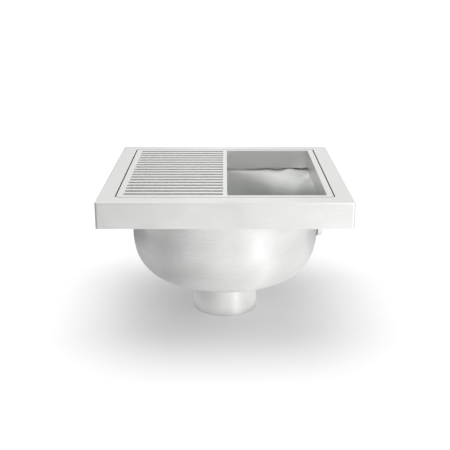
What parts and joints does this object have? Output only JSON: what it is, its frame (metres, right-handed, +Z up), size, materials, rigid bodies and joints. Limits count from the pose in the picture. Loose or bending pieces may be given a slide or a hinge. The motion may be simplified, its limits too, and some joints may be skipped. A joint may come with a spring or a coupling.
{
  "type": "floor sink",
  "caption": "Square floor sink of brushed stainless steel: rim with folded skirt, lift-off half grate, round dished bowl, lift-out dome strainer and a short outlet pipe.",
  "frame": {"origin": "centre of the outlet pipe's lower end", "axes": "+Z up out of the drain, front of the sink towards -Y, the grate's open half towards +X"},
  "size_m": [0.3556, 0.3556, 0.225],
  "materials": {
    "sheet_steel": "satin, brushed along each side",
    "bowl_steel": "satin, spun round its axis",
    "pipe_steel": "satin, drawn along its length",
    "lug_steel": "plain mill finish",
    "grate_steel": "satin, brushed from side to side",
    "strainer_steel": "bright, pressed"
  },
  "bodies": {
    "sink": {"rim_frame": "sheet_steel", "seat_angle_front": "sheet_steel", "seat_angle_back": "sheet_steel", "seat_angle_left": "sheet_steel", "seat_angle_right": "sheet_steel", "bowl": "bowl_steel", "outlet_spigot": "pipe_steel", "strainer_seat": "pipe_steel", "primer_coupling": "pipe_steel", "anchor_lug_front": "lug_steel", "anchor_lug_back": "lug_steel", "anchor_lug_left": "lug_steel", "anchor_lug_right": "lug_steel"},
    "grate": {"half_grate": "grate_steel", "grate_mid_rib": "grate_steel", "grate_slot_rib": "grate_steel"},
    "strainer": {"strainer_dome": "strainer_steel", "strainer_flange": "strainer_steel", "strainer_knob": "strainer_steel", "strainer_nut": "strainer_steel"}
  },
  "joints": [
    {"name": "grate_lift", "type": "slide", "parent": "sink", "child": "grate", "axis": [0, 0, 1], "range_m": [0, 0.12]},
    {"name": "strainer_lift", "type": "slide", "parent": "sink", "child": "strainer", "axis": [0, 0, 1], "range_m": [0, 0.1]}
  ]
}
